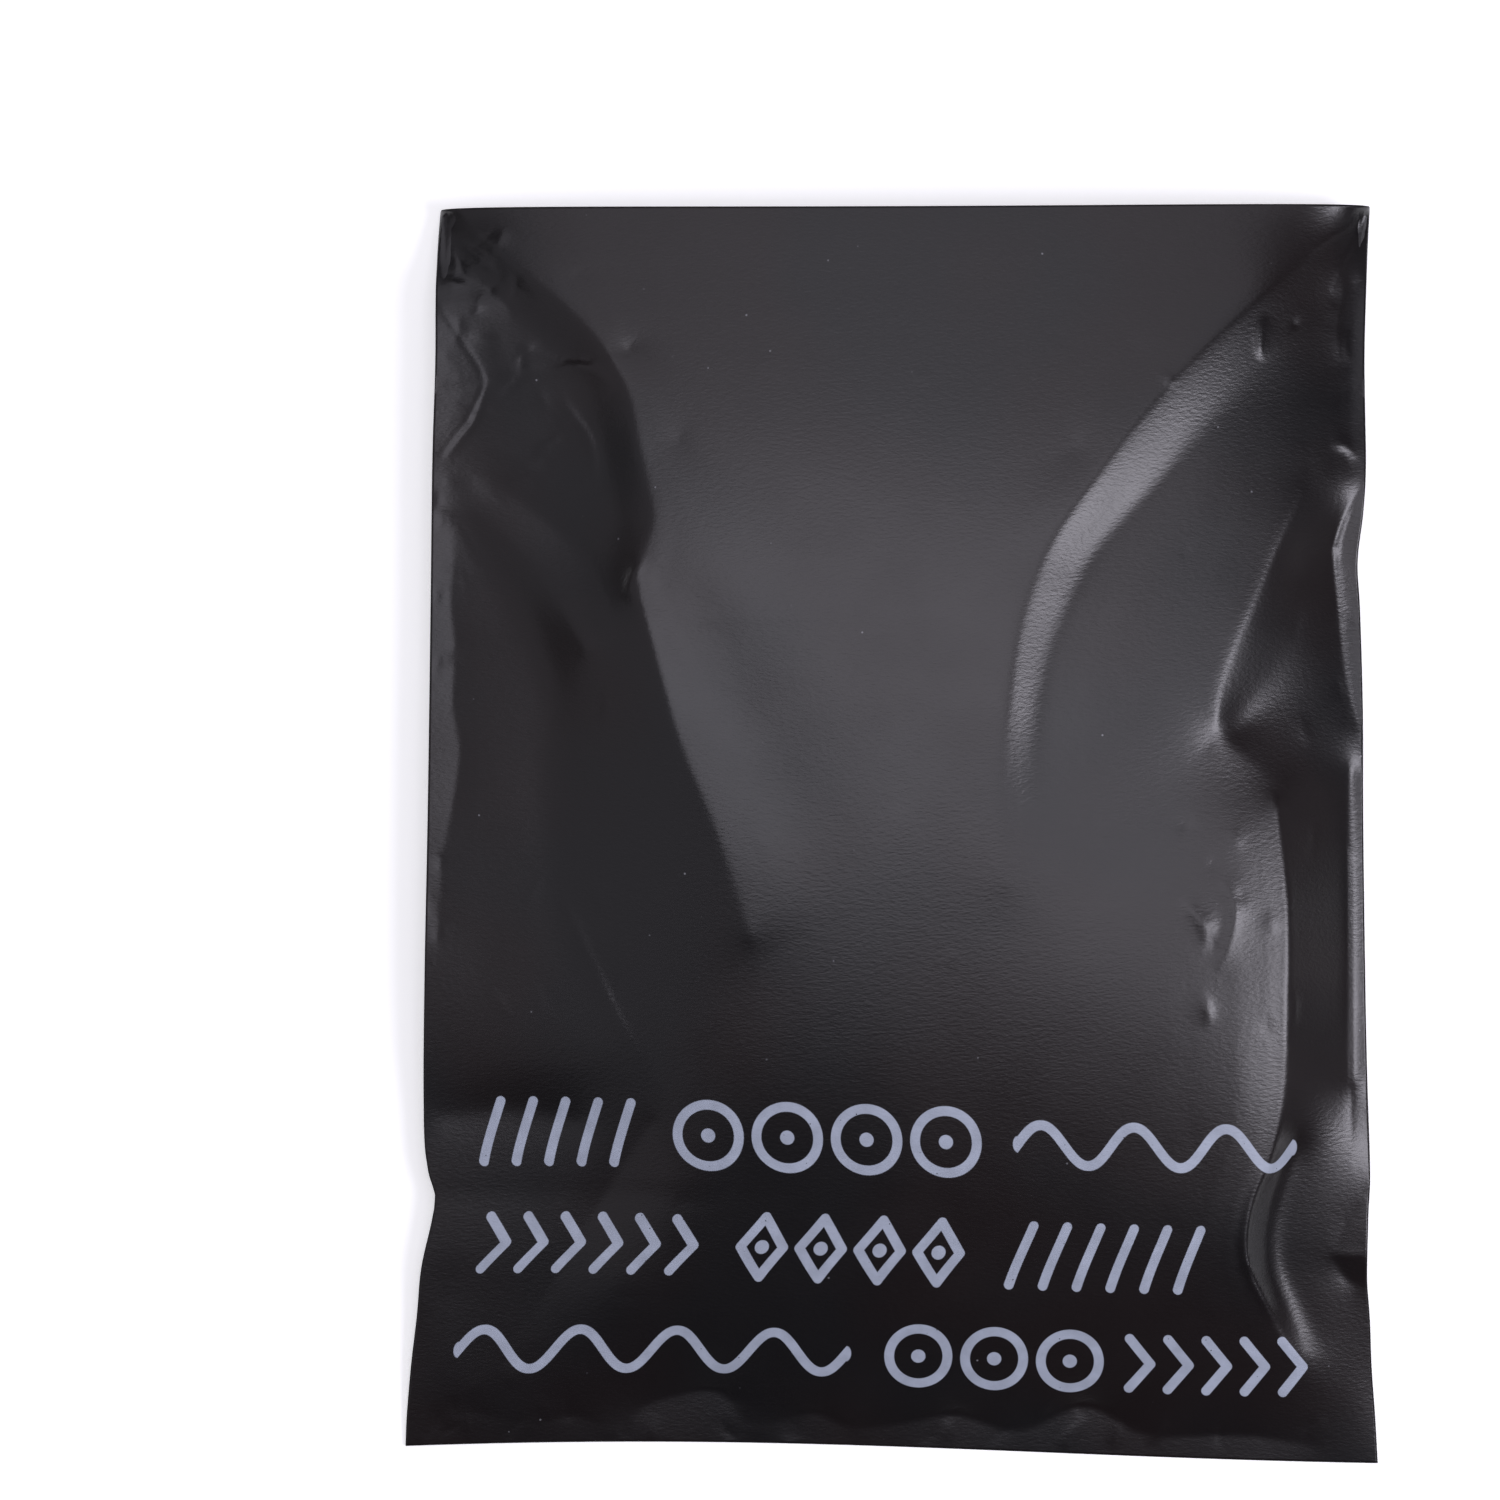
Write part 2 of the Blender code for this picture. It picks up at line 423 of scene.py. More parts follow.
# Sharp creases in the stretched film: (width on the left, width on the right, points
# with heights), left and right as one goes along the points. A crease falls away
# over those widths, so a narrow one makes a sharp edge on its side.
CREASES = (
    # The crescent and the dimple on the long ridge.
    (2.4, 0.7, ((113.4, 161, 0), (111.6, 156.5, 0.7), (111.5, 151, 0.7), (112.6, 146.5, 0))),
    (1.2, 1.2, ((121.5, 160, 0), (123, 158.6, -0.5), (124.2, 157, 0))),
    (1.4, 0.6, ((80, 143, 0), (82.5, 140.5, 0.45), (84, 138, 0))),
    # The nick in the left shoulder.
    (1.6, 0.8, ((-76, 86, 0), (-79.6, 82, 0.9), (-81.6, 76.5, 1), (-78, 72, 0))),
    # The swirl in the upper left slope and the marks below it.
    (1.2, 6.0, ((-126, 142.6, 0.1), (-116, 145, 0.4), (-106, 144.6, 0.5), (-97, 146, 0.9))),
    (1.2, 6.0, ((-97, 146, 0.9), (-90, 143, 0.7), (-85, 138, 0))),
    (0.8, 3.0, ((-103, 137, 0), (-98, 130, 0.6), (-93, 122, 0.8), (-91, 108, 0))),
    (0.8, 2.2, ((-121, 111.4, 0), (-114, 114.4, 0.6), (-108, 116.8, 0))),
    (0.8, 2.2, ((-112, 118.5, 0), (-107, 122, 0.55), (-101, 124, 0))),
    # The crinkled corner above the tuck.
    (0.7, 4.0, ((-136, 186, 0), (-131, 183, 0.7), (-125.5, 178.4, 0.6), (-122, 173, 0))),
    (3.0, 0.7, ((-133, 176, 0), (-128, 177.6, 0.8), (-124, 176.4, 0))),
    (0.7, 3.0, ((-140, 175, 0), (-136, 172.6, 0.8), (-131.6, 172.4, 0))),
    (0.7, 2.0, ((-139, 187, 0), (-135.6, 179, 0.5), (-136.4, 172, 0))),
    # The left tuck's crest, the fold line across its flat and the pinch below it.
    (0.6, 0.6, ((-140.6, 165, 0.1), (-134, 155, 0.35), (-127, 142, 0.45), (-131.6, 130, 0.3))),
    (0.6, 0.6, ((-131.6, 130, 0.3), (-136, 124, 0.3), (-140.4, 118.4, 0.1))),
    (0.6, 0.6, ((-139.5, 140.6, 0), (-134, 140.2, 0.28), (-128.6, 141, 0.2))),
    (0.9, 0.9, ((-125.4, 141, 0), (-129.4, 129.6, -0.5), (-134.6, 123.4, -0.5), (-139.4, 117.6, 0))),
    # The crease across the pack, below its left shoulder.
    (0.6, 1.6, ((-78, 68.4, 0), (-60, 68, 0.12), (-30, 68.6, 0.12), (-14, 68, 0))),
    # The crease at the foot of the left slope.
    (1.0, 3.0, ((-103, -14, 0), (-96, -30, 0.4), (-85, -54, 0.5), (-69, -83, 0))),
    # The sharp end of the fold down the right.
    (3.0, 0.7, ((113, -101, 0), (109, -113, 0.5), (107.6, -122, 0.9), (108.6, -131, 0.9))),
    (3.0, 0.7, ((108.6, -131, 0.9), (113, -140, 0.7), (119, -151, 0))),
    # The two thin crests that meet at the top right corner.
    (0.7, 0.7, ((147, 194.4, 0), (139.4, 188.6, 0.4), (132.2, 183.8, 0.4), (128, 179.6, 0))),
    (0.7, 0.7, ((147.2, 193, 0), (143, 185, 0.4), (138.2, 177, 0.4), (135.3, 169, 0))),
    # The facets beside the right weld.
    (0.7, 4.0, ((141, 158, 0), (140, 153, 0.5), (141.4, 147, 0))),
    (3.0, 0.7, ((134, 121, 0), (139, 121, 0.8), (143.6, 116.4, 0))),
    (0.8, 3.0, ((138, 178, 0), (139.4, 170, 0.4), (137.4, 158, 0.5), (138, 146, 0))),
    # The tuck at the right weld.
    (0.6, 0.6, ((137.2, -129.4, 0.2), (142, -129.6, 0.3), (146.4, -129.2, 0.1))),
    # The pucker at the right weld.
    (0.7, 0.7, ((145, 108, 0), (140, 99.6, 0.5), (136.8, 89.6, 0.5))),
    (1.4, 0.7, ((136.8, 89.6, 0.5), (138.5, 72, 0.3), (141, 50, 0.2), (144.3, 35, 0))),
    # The small dents beside the fold down the right.
    (2.5, 1.4, ((86, -18, 0), (92, -24, 0.7), (95, -33, 0))),
    (3.0, 1.2, ((98, -12, 0), (103, -20, 0.7), (101, -32, 0.5), (97, -40, 0))),
    (1.2, 2.2, ((92, -45, 0), (95, -51, 0.6), (95.6, -57, 0))),
    (0.8, 1.2, ((121.5, -45, 0), (122.5, -51, 0.35), (122, -58, 0))),
    # The line where the right weld is pressed.
    (0.8, 1.4, ((141.6, 18, 0), (141.6, -20, 0.3), (141.8, -70, 0.3), (141.6, -106, 0))),
)

# Small random crinkles: (count, corners of a box in mm, longest, height, direction in
# degrees and how far it may turn).
CRINKLES = (
    (16, (-140, 140, -112, 190), 14, 0.55, 20, 70),
    (14, (-134, 60, -88, 140), 16, 0.30, 130, 50),
    (10, (-128, -60, -80, 50), 20, 0.22, 95, 40),
    (10, (-144, -60, -134, 110), 9, 0.35, 90, 35),
    (8, (82, -60, 116, 14), 9, 0.35, 115, 60),
    (10, (124, -40, 146, 190), 14, 0.28, 95, 40),
    (12, (-60, -40, 90, 170), 7, 0.10, 60, 90),
    (26, (-146, -188, 140, -178), 15, 0.55, 90, 60),
    (12, (-130, -178, 100, -168), 16, 0.35, 100, 50),
)
CRINKLE_WIDTHS = (0.6, 2.6)  # millimetres, narrowest and widest
SEED = 7


def linear(hex_colour):
    """The linear RGBA of an sRGB colour written as six hex digits."""
    channels = []
    for place in (0, 2, 4):
        value = int(hex_colour[place : place + 2], 16) / 255
        channels.append(value / 12.92 if value <= 0.04045 else ((value + 0.055) / 1.055) ** 2.4)
    return (*channels, 1.0)


# ---------------------------------------------------------------- the film's form

FINE_COLUMNS, FINE_ROWS = 480, 624  # cells the film is stretched on
CROWDING = 0.35  # how much closer than even the mesh's points stand near its rim
HALVINGS = (4, 3, 2, 1, 0)  # of those cells, for the coarse grids it starts on
SWEEPS = 420  # over each grid
FIRMNESS = 6.0  # how hard a line holds the film, against the film's own pull
SLACK = 0.001  # millimetres a cell, which bulges the film between its lines
RIM_ROUNDNESS = 1.5  # millimetres
ROUNDNESSES = (0.7, 3.0, 6.0, 12.0)  # millimetres, of the film's softened copies
CREASE_FADE = 2.5  # millimetres from the rim over which creases die away


def smooth_curve(points, step):
    """Points about a step apart on a smooth curve through the given ones."""
    given = np.array(points, float)
    padded = np.vstack((2 * given[0] - given[1], given, 2 * given[-1] - given[-2]))
    found = []
    for k in range(1, len(padded) - 2):
        before, a, b, after = padded[k - 1 : k + 3]
        count = max(2, int(np.linalg.norm((b - a)[:2]) / step))
        for share in np.arange(count) / count:
            found.append(
                0.5
                * (
                    2 * a
                    + (b - before) * share
                    + (2 * before - 5 * a + 4 * b - after) * share**2
                    + (3 * a - before - 3 * b + after) * share**3
                )
            )
    found.append(given[-1])
    return np.array(found)


def on_rim(rim, t):
    """Places at shares t of the way up a side weld."""
    curve = smooth_curve(rim, 1.0)
    y = curve[0, 1] + t * (curve[-1, 1] - curve[0, 1])
    return np.stack((np.interp(y, curve[:, 1], curve[:, 0]), y), -1)


def in_plan(s, t):
    """Where the film's point at shares s across and t up lies, seen from above."""
    left, right = on_rim(LEFT_RIM, t), on_rim(RIGHT_RIM, t)
    places = (1 - s[..., None]) * left + s[..., None] * right
    arch = np.sin(math.pi * s)
    places[..., 1] += arch * (BOTTOM_BOW * (1 - s) * (1 - t) - TOP_DIP * t)
    return places


def in_film(places):
    """The shares (s, t) of places given from above: in_plan turned round."""
    s, t = places[:, 0] / NOMINAL_WIDTH + 0.5, places[:, 1] / NOMINAL_HEIGHT + 0.5
    for _ in range(6):
        miss = places[:, :2] - in_plan(s, t)
        s = np.clip(s + miss[:, 0] / NOMINAL_WIDTH, 0, 1)
        t = np.clip(t + miss[:, 1] / NOMINAL_HEIGHT, 0, 1)
    return s, t


def rim_height(s, t):
    """How high the rim floats: each weld as its list says, and the top fold bulged."""
    sides = []
    for floats in (LEFT_FLOAT, RIGHT_FLOAT):
        curve = smooth_curve(floats, 0.01)
        sides.append(np.interp(t, curve[:, 0], curve[:, 1]))
    arch = np.sin(math.pi * np.clip(s, 0, 1)) ** BULGE_ROUNDNESS
    bulge = TOP_BULGE * arch * t**BULGE_FADE
    return sides[0] + s * (sides[1] - sides[0]) + bulge


def stretched(rows, columns, samples, values, rim, lift):
    """A film on a grid, held at its rim, stretched over samples at (s, t) with the
    values given. It is found on a coarse grid first, then on finer ones."""
    film = None
    for halvings in HALVINGS:
        ny, nx = rows >> halvings, columns >> halvings
        pull, target = np.zeros((ny + 1, nx + 1)), np.zeros((ny + 1, nx + 1))
        x, y = samples[0] * nx, samples[1] * ny
        i, j = np.minimum(x.astype(int), nx - 1), np.minimum(y.astype(int), ny - 1)
        for right, up in ((0, 0), (1, 0), (0, 1), (1, 1)):
            share = np.abs(1 - right - (x - i)) * np.abs(1 - up - (y - j))
            np.add.at(pull, (j + up, i + right), share)
            np.add.at(target, (j + up, i + right), share * values)
        pull, target = FIRMNESS * pull, FIRMNESS * target
        s, t = np.meshgrid(np.linspace(0, 1, nx + 1), np.linspace(0, 1, ny + 1))
        edge = rim(s, t)
        if film is None:
            film = edge.copy()
        else:
            film = resampled(film, s, t)
        inside = (slice(1, -1), slice(1, -1))
        load = lift * 4.0**halvings
        film[[0, -1], :] = edge[[0, -1], :]
        film[:, [0, -1]] = edge[:, [0, -1]]
        for _ in range(SWEEPS):
            around = film[:-2, 1:-1] + film[2:, 1:-1] + film[1:-1, :-2] + film[1:-1, 2:]
            film[inside] = (around + target[inside] + load) / (4 + pull[inside])
    return film


def resampled(grid, s, t):
    """Values of a grid at shares s and t, between its points."""
    ny, nx = grid.shape[0] - 1, grid.shape[1] - 1
    x, y = s * nx, t * ny
    i, j = np.minimum(x.astype(int), nx - 1), np.minimum(y.astype(int), ny - 1)
    x, y = x - i, y - j
    lower = grid[j, i] * (1 - x) + grid[j, i + 1] * x
    upper = grid[j + 1, i] * (1 - x) + grid[j + 1, i + 1] * x
    return lower * (1 - y) + upper * y


def softened(film, radius, cell):
    """The film with its creases rounded to about a radius, its rim held."""
    film = film.copy()
    for _ in range(max(1, int((radius / cell) ** 2 / 0.4))):
        around = film[:-2, 1:-1] + film[2:, 1:-1] + film[1:-1, :-2] + film[1:-1, 2:]
        film[1:-1, 1:-1] += 0.2 * (around - 4 * film[1:-1, 1:-1])
    return film


def stretched_film(rows, columns):
    """Heights of the front film in millimetres, stretched over its lines."""
    curves = [smooth_curve(points, 0.8) for _, points in FILM_LINES]
    rounds = [np.full(len(curve), line[0], float) for curve, line in zip(curves, FILM_LINES)]
    samples = np.vstack(curves)
    at = in_film(samples)
    film = stretched(rows, columns, at, samples[:, 2], rim_height, SLACK)
    roundness = stretched(
        rows, columns, at, np.concatenate(rounds), lambda s, t: RIM_ROUNDNESS + 0 * s, 0.0
    )
    cell = NOMINAL_WIDTH / columns
    layers = [softened(film, radius, cell) for radius in ROUNDNESSES]
    height = layers[0].copy()
    for k in range(1, len(layers)):
        crisper, softer = ROUNDNESSES[k - 1 : k + 1]
        share = np.clip((roundness - crisper) / (softer - crisper), 0, 1)
        height += share * (layers[k] - layers[k - 1])
    return height


def crease(places, left_width, right_width, points):
    """Heights that one crease adds at places (x, y)."""
    curve = smooth_curve(points, 1.5)
    reach = 5 * max(left_width, right_width)
    low, high = curve[:, :2].min(0) - reach, curve[:, :2].max(0) + reach
    near = np.all((places > low) & (places < high), -1)
    nearest = np.full(near.sum(), np.inf)
    added = np.zeros(near.sum())
    for a, b in zip(curve, curve[1:]):
        along, out = (b - a)[:2], places[near] - a[:2]
        share = np.clip(out @ along / (along @ along), 0, 1)
        gap = out - share[:, None] * along
        away = np.hypot(gap[:, 0], gap[:, 1])
        to_left = along[0] * gap[:, 1] - along[1] * gap[:, 0] > 0
        width = np.where(to_left, left_width, right_width)
        height = (a[2] + share * (b[2] - a[2])) * np.exp(-np.hypot(away, 0.2) / width)
        closer = away < nearest
        nearest[closer], added[closer] = away[closer], height[closer]
    heights = np.zeros(len(places))
    heights[near] = added
    return heights


def crinkles():
    """The random creases, as (left width, right width, points) like CREASES."""
    chance = np.random.default_rng(SEED)
    found = []
    for count, (x0, y0, x1, y1), longest, height, heading, turn in CRINKLES:
        for _ in range(count):
            middle = np.array((chance.uniform(x0, x1), chance.uniform(y0, y1)))
            angle = math.radians(heading + chance.uniform(-turn, turn))
            reach = longest * chance.uniform(0.3, 0.5) * np.array((math.cos(angle), math.sin(angle)))
            bow = chance.uniform(-0.25, 0.25) * np.array((-reach[1], reach[0]))
            top = height * chance.uniform(0.4, 1.0) * chance.choice((-1, 1))
            ends = middle - reach, middle + bow, middle + reach
            points = [(*place, lift) for place, lift in zip(ends, (0, top, 0))]
            left_width, right_width = chance.uniform(*CRINKLE_WIDTHS), chance.uniform(*CRINKLE_WIDTHS)
            found.append((left_width, right_width, points))
    return found


def creased(places, s, t):
    """Heights that all creases add at places (x, y), fading out at the rim."""
    added = sum(crease(places, *line) for line in (*CREASES, *crinkles()))
    from_rim = np.minimum(np.minimum(s, 1 - s) * NOMINAL_WIDTH, np.minimum(t, 1 - t) * NOMINAL_HEIGHT)
    return added * np.clip(from_rim / CREASE_FADE, 0, 1)


def back_height(s, t):
    """Heights of the back: flat on the table, lifted near the rim, with the step of
    the flap's edge across it."""
    inward = np.minimum(2 * np.minimum(s, 1 - s), 2.4 * np.minimum(t, 1 - t))
    lift = np.maximum(0, 1 - inward / BACK_LIFT) ** 2
    past_flap = (1 - t) * NOMINAL_HEIGHT - FLAP_DEPTH
    beside_flap = np.where(past_flap < 0, 0, FLAP_STEP * np.clip(1 - past_flap / FLAP_RAMP, 0, 1))
    return (rim_height(s, t) - WELD) * lift + beside_flap


# ---------------------------------------------------------------- materials


def add(tree, kind, settings, *values, **named):
    """A node with its settings, and its inputs linked or set in order or by name."""
    made = tree.nodes.new("ShaderNode" + kind)
    for name, value in settings.items():
        setattr(made, name, value)
    sockets = [socket for socket in made.inputs if socket.enabled]
    pairs = list(zip(sockets, values))
    pairs += [(made.inputs[name.replace("_", " ")], value) for name, value in named.items()]
    for socket, value in pairs:
        if isinstance(value, bpy.types.Node):
            value = next(output for output in value.outputs if output.enabled)
        if isinstance(value, bpy.types.NodeSocket):
            tree.links.new(value, socket)
        else:
            socket.default_value = value
    return made


FILM_ROUGHNESS, INK_ROUGHNESS = 0.32, 0.5
GRAIN_DEPTH = 0.00007  # metres
BACK_UV_SHIFT = 2.0  # moves the back clear of the print in the bag's UV map

# The print: rows of plain motifs, (motif, left end, middle's height, pitch, count) in
# millimetres across from the bag's middle line and up from the bottom weld.
STROKE = 3.1  # width of every printed line
STROKE_BLUR = 0.12  # to each side of its edge
PRINT = (
    ("bar", -136, 101, 10.6, 5),
    ("ring", -73, 101, 25.2, 4),
    ("wave", 38, 101, 14.8, 6),
    ("chevron", -136, 65.5, 12.2, 6),
    ("diamond", -53, 65.5, 18.9, 4),
    ("bar", 34, 65.5, 10.8, 6),
    ("wave", -138, 31, 15.4, 8),
    ("ring", -4, 31, 24, 3),
    ("chevron", 72, 31, 12.2, 5),
)


def stroke_to(tree, place, start, end):
    """Distance from a place to the stroke between two points."""
    along = Vector((*end, 0)) - Vector((*start, 0))
    out = add(tree, "VectorMath", {"operation": "SUBTRACT"}, place, (*start, 0))
    reach = add(tree, "VectorMath", {"operation": "DOT_PRODUCT"}, out, along / along.length_squared)
    share = add(tree, "Clamp", {}, reach)
    foot = add(tree, "VectorMath", {"operation": "SCALE"}, tuple(along), Scale=share)
    gap = add(tree, "VectorMath", {"operation": "SUBTRACT"}, out, foot)
    return add(tree, "VectorMath", {"operation": "LENGTH"}, gap)


def motif_distance(tree, motif, place, pitch):
    """Distance from a place to one motif's line, in millimetres from its middle."""
    if motif == "bar":
        return stroke_to(tree, place, (-3.2, -9.6), (3.2, 9.6))
    folded = add(tree, "VectorMath", {"operation": "ABSOLUTE"}, place)
    if motif == "chevron":
        upright = add(tree, "VectorMath", {"operation": "MULTIPLY"}, folded, (0, 1, 0))
        level = add(tree, "VectorMath", {"operation": "MULTIPLY"}, place, (1, 0, 0))
        halved = add(tree, "VectorMath", {"operation": "ADD"}, upright, level)
        return stroke_to(tree, halved, (-3.4, 8.4), (3.4, 0))
    dot = add(tree, "VectorMath", {"operation": "LENGTH"}, place)
    if motif == "diamond":
        side = stroke_to(tree, folded, (pitch / 2 - 2.6, 0), (0, 9.8))
    else:
        circle = add(tree, "Math", {"operation": "SUBTRACT"}, dot, pitch / 2 - 2.8)
        side = add(tree, "Math", {"operation": "ABSOLUTE"}, circle)
    dot = add(tree, "Math", {"operation": "SUBTRACT"}, dot, 0.7)
    return add(tree, "Math", {"operation": "MINIMUM"}, side, dot)


def wave_distance(tree, across, up, pitch, count):
    """Distance to a wave's line, from across its left end and up from its middle."""
    height, quickness = 0.42 * pitch, math.pi / pitch
    near = add(tree, "Clamp", {}, across, 0.0, count * pitch)
    angle = add(tree, "Math", {"operation": "MULTIPLY"}, near, quickness)
    line = add(tree, "Math", {"operation": "SINE"}, angle)
    off = add(tree, "Math", {"operation": "MULTIPLY_ADD"}, line, -height, up)
    slope = add(tree, "Math", {"operation": "COSINE"}, angle)
    slope = add(tree, "Math", {"operation": "MULTIPLY"}, slope, height * quickness)
    run = add(tree, "CombineXYZ", {}, 1.0, slope)
    run = add(tree, "VectorMath", {"operation": "LENGTH"}, run)
    off = add(tree, "Math", {"operation": "DIVIDE"}, off, run)
    past = add(tree, "Math", {"operation": "SUBTRACT"}, across, near)
    gap = add(tree, "CombineXYZ", {}, past, off)
    return add(tree, "VectorMath", {"operation": "LENGTH"}, gap)


def printed(tree, flat):
    """1 inside the print and 0 outside, at places on the film in millimetres."""
    nearest = None
    for motif, left, middle, pitch, count in PRINT:
        moved = add(tree, "VectorMath", {"operation": "SUBTRACT"}, flat, (left, middle, 0))
        split = add(tree, "SeparateXYZ", {}, moved)
        across, up = split.outputs["X"], split.outputs["Y"]
        if motif == "wave":
            away = wave_distance(tree, across, up, pitch, count)
        else:
            cell = add(tree, "Math", {"operation": "DIVIDE"}, across, pitch)
            cell = add(tree, "Math", {"operation": "FLOOR"}, cell)
            cell = add(tree, "Clamp", {}, cell, 0.0, count - 1.0)
            start = add(tree, "Math", {"operation": "MULTIPLY_ADD"}, cell, pitch, pitch / 2)
            within = add(tree, "Math", {"operation": "SUBTRACT"}, across, start)
            place = add(tree, "CombineXYZ", {}, within, up)
            away = motif_distance(tree, motif, place, pitch)
        if nearest is not None:
            away = add(tree, "Math", {"operation": "MINIMUM"}, nearest, away)
        nearest = away
    inside, outside = STROKE / 2 - STROKE_BLUR, STROKE / 2 + STROKE_BLUR
    return add(tree, "MapRange", {}, nearest, inside, outside, 1.0, 0.0)


def film_material(sizes):
    """Black polyethylene film, blown and left unpolished, with one flat ink.

    Its satin face gives soft, slightly blue highlights with a fine leathery grain in
    them. Bits of filler show as pale specks, and the ink is matt with pinholes."""
    made = bpy.data.materials.new("black_polyethylene_film")
    made.use_nodes = True
    tree = made.node_tree
    tree.nodes.clear()
    coordinates = add(tree, "TexCoord", {})
    solid = add(
        tree, "Mapping", {}, coordinates.outputs["Object"], Scale=(1000, 1000, 1000)
    )
    flat = add(
        tree,
        "Mapping",
        {},
        coordinates.outputs["UV"],
        Location=(-NOMINAL_WIDTH / 2, 0, 0),
        Scale=(NOMINAL_WIDTH, NOMINAL_HEIGHT, 1),
    )
    ink = printed(tree, flat)

    # The ink: uneven over some 6 mm, with pinholes a third of a millimetre wide.
    mottle = add(tree, "TexNoise", {}, solid, Scale=0.16, Detail=3.0)
    mottle = add(tree, "MapRange", {}, mottle, 0.3, 0.7, 0.86, 1.06)
    ink_colour = add(
        tree, "VectorMath", {"operation": "SCALE"}, tuple(sizes.ink_colour)[:3], Scale=mottle
    )
    pinholes = add(tree, "TexVoronoi", {}, solid, Scale=0.28)
    pinholes = add(tree, "MapRange", {}, pinholes, 0.035, 0.075, 0.0, 1.0)
    ink = add(tree, "Math", {"operation": "MULTIPLY"}, ink, pinholes)

    # Specks of filler, about 0.4 mm wide and 13 mm apart, drawn only in some cells.
    cells = add(tree, "TexVoronoi", {}, solid, Scale=0.11)
    speck = add(tree, "MapRange", {}, cells.outputs["Distance"], 0.02, 0.045, 1.0, 0.0)
    chosen = add(tree, "SeparateColor", {}, cells.outputs["Color"])
    chosen = add(tree, "MapRange", {}, chosen, 0.45, 0.9, 0.0, 1.0)
    speck = add(tree, "Math", {"operation": "MULTIPLY"}, speck, chosen)

    # The film's black, faintly browner in patches some 60 mm wide.
    patches = add(tree, "TexNoise", {}, solid, Scale=0.016, Detail=1.0)
    patches = add(tree, "MapRange", {}, patches, 0.4, 0.6)
    mix = {"data_type": "RGBA"}
    black = add(tree, "Mix", mix, patches, tuple(sizes.film_colour), tuple(sizes.patch_colour))
    film = add(tree, "Mix", mix, speck, black, linear("77777c"))
    colour = add(tree, "Mix", mix, ink, film, ink_colour)

    # The film's gloss varies a little, over some 25 mm.
    gloss = add(tree, "TexNoise", {}, solid, Scale=0.04, Detail=2.0)
    gloss = add(tree, "MapRange", {}, gloss, 0.3, 0.7, FILM_ROUGHNESS - 0.02, FILM_ROUGHNESS + 0.02)
    roughness = add(tree, "Mix", {}, ink, gloss, INK_ROUGHNESS)

    # Grain like fine leather: streaks about 0.8 mm wide and 2 mm long.
    slanted = add(
        tree, "Mapping", {}, solid, Rotation=(0, 0, math.radians(-50)), Scale=(0.5, 1.25, 1)
    )
    grain = add(tree, "TexNoise", {}, slanted, Scale=1.0, Detail=2.0, Roughness=0.6)
    relief = add(tree, "Bump", {}, Distance=GRAIN_DEPTH, Height=grain)

    shader = add(
        tree, "BsdfPrincipled", {}, Base_Color=colour, Roughness=roughness, IOR=1.51, Normal=relief
    )
    add(tree, "OutputMaterial", {}, shader)
    return made


# ---------------------------------------------------------------- settings


class MailerFilm(bpy.types.PropertyGroup):
    columns: IntProperty(
        name="Columns", description="Front film's cells across", default=264, min=32
    )
    rows: IntProperty(name="Rows", description="Front film's cells up", default=336, min=32)
    film_colour: FloatVectorProperty(
        name="Film",
        description="Colour of the film",
        subtype="COLOR",
        size=4,
        default=linear("0f0d10"),
    )
    patch_colour: FloatVectorProperty(
        name="Patches",
        description="Colour of the film's browner patches",
        subtype="COLOR",
        size=4,
        default=linear("140d0f"),
    )
    ink_colour: FloatVectorProperty(
        name="Ink",
        description="Colour of the print",
        subtype="COLOR",
        size=4,
        default=linear("a7afbf"),
    )


class MailerStudio(bpy.types.PropertyGroup):
    lens: FloatProperty(name="Lens", description="Focal length in mm", default=85.0)
    view_width: FloatProperty(
        name="View width",
        description="Width of table in the picture",
        default=0.4712,
        subtype="DISTANCE",
        unit="LENGTH",
    )


# ---------------------------------------------------------------- operators


def active_mesh():
    return bpy.context.view_layer.objects.active


def flat_sheet(name, columns, rows):
    """A flat unit square sheet with its own UV map, in the middle of the scene."""
    bpy.ops.object.select_all(action="DESELECT")
    bpy.ops.mesh.primitive_grid_add(x_subdivisions=columns, y_subdivisions=rows, size=1)
    made = active_mesh()
    made.name = name
    return made


def shaped(sheet, plan, heights):
    """Move a sheet's points to places (x, y) and heights in millimetres."""
    places = np.stack(
        (MIDDLE.x + plan[:, 0] * MM_X, MIDDLE.y + plan[:, 1] * MM_Y, LOW.z + heights * MM_Z), -1
    )
    sheet.data.vertices.foreach_set("co", places.astype(np.float32).ravel())
    sheet.data.update()


def shares(sheet):
    """Each point's shares (s, t) across and up a sheet that is still flat, crowded
    toward its rim. Its UV map is given the same shares."""
    flat = np.empty(len(sheet.data.vertices) * 3, np.float32)
    sheet.data.vertices.foreach_get("co", flat)
    even = np.clip(flat.reshape(-1, 3)[:, :2].astype(float) + 0.5, 0, 1)
    crowded = even - CROWDING * np.sin(2 * math.pi * even) / (2 * math.pi)
    corners = np.empty(len(sheet.data.loops), np.int32)
    sheet.data.loops.foreach_get("vertex_index", corners)
    sheet.data.uv_layers.active.data.foreach_set("uv", crowded[corners].astype(np.float32).ravel())
    return crowded[:, 0], crowded[:, 1]


